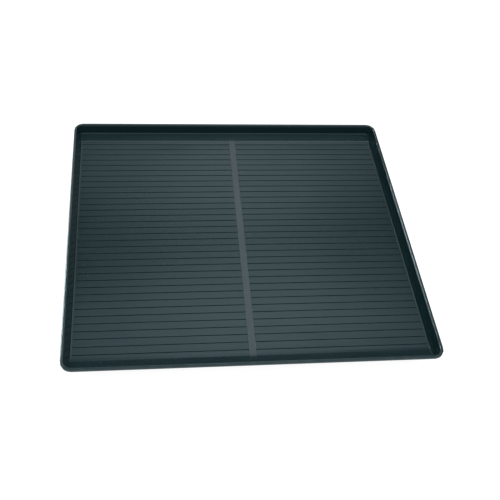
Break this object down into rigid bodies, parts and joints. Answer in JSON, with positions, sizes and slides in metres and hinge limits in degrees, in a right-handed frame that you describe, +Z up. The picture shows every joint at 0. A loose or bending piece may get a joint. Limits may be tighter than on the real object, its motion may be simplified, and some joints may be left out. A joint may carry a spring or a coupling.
{
  "type": "seedling heat mat",
  "caption": "Rigid heated propagation mat: a shallow black tray with a rolled rim and a grooved floor, over a closed chamber with a heating cable, on rubber feet.",
  "frame": {"origin": "on the floor, under the middle of the tray", "axes": "+X to the right along the grooves, +Y to the back where the cord entry is, +Z up"},
  "size_m": [0.6, 0.576, 0.042],
  "materials": {
    "tray_plastic": "satin",
    "base_plastic": "matte",
    "foil": "satin",
    "cable_jacket": "matte",
    "potting": "matte",
    "foam": "matte",
    "rubber_black": "matte",
    "steel": "satin",
    "brass": "satin",
    "nylon_black": "satin",
    "ceramic_white": "matte",
    "wire_brown": "satin",
    "wire_blue": "satin",
    "wire_green": "satin"
  },
  "bodies": {
    "root": {"tray_shell": "tray_plastic", "heat_spreader_foil": "foil", "backing_foil": "foil", "heating_cable": "cable_jacket", "cable_end_cap": "potting", "cold_joint": "potting", "insulation_board": "foam", "base_cover": "base_plastic", "perimeter_seal": "rubber_black", "cover_screw_1": "steel", "cover_screw_2": "steel", "cover_screw_3": "steel", "cover_screw_4": "steel", "cover_screw_5": "steel", "cover_screw_6": "steel", "cover_screw_7": "steel", "cover_screw_8": "steel", "foot_1": "rubber_black", "foot_2": "rubber_black", "foot_3": "rubber_black", "foot_4": "rubber_black", "foot_5": "rubber_black", "foot_6": "rubber_black", "gland_washer": "rubber_black", "gland_body": "nylon_black", "gland_seal": "rubber_black", "gland_nut": "nylon_black", "gland_locknut": "nylon_black", "terminal_block": "ceramic_white", "terminal_sleeve_earth": "brass", "terminal_sleeve_neutral": "brass", "terminal_sleeve_live": "brass", "terminal_screw_1": "steel", "terminal_screw_2": "steel", "terminal_screw_3": "steel", "terminal_screw_4": "steel", "terminal_screw_5": "steel", "terminal_screw_6": "steel", "thermal_cutout": "steel", "tail_live_a": "wire_brown", "tail_live_b": "wire_brown", "tail_neutral": "wire_blue", "earth_lug": "steel", "earth_rivet": "steel", "earth_lead": "wire_green"}
  },
  "joints": []
}
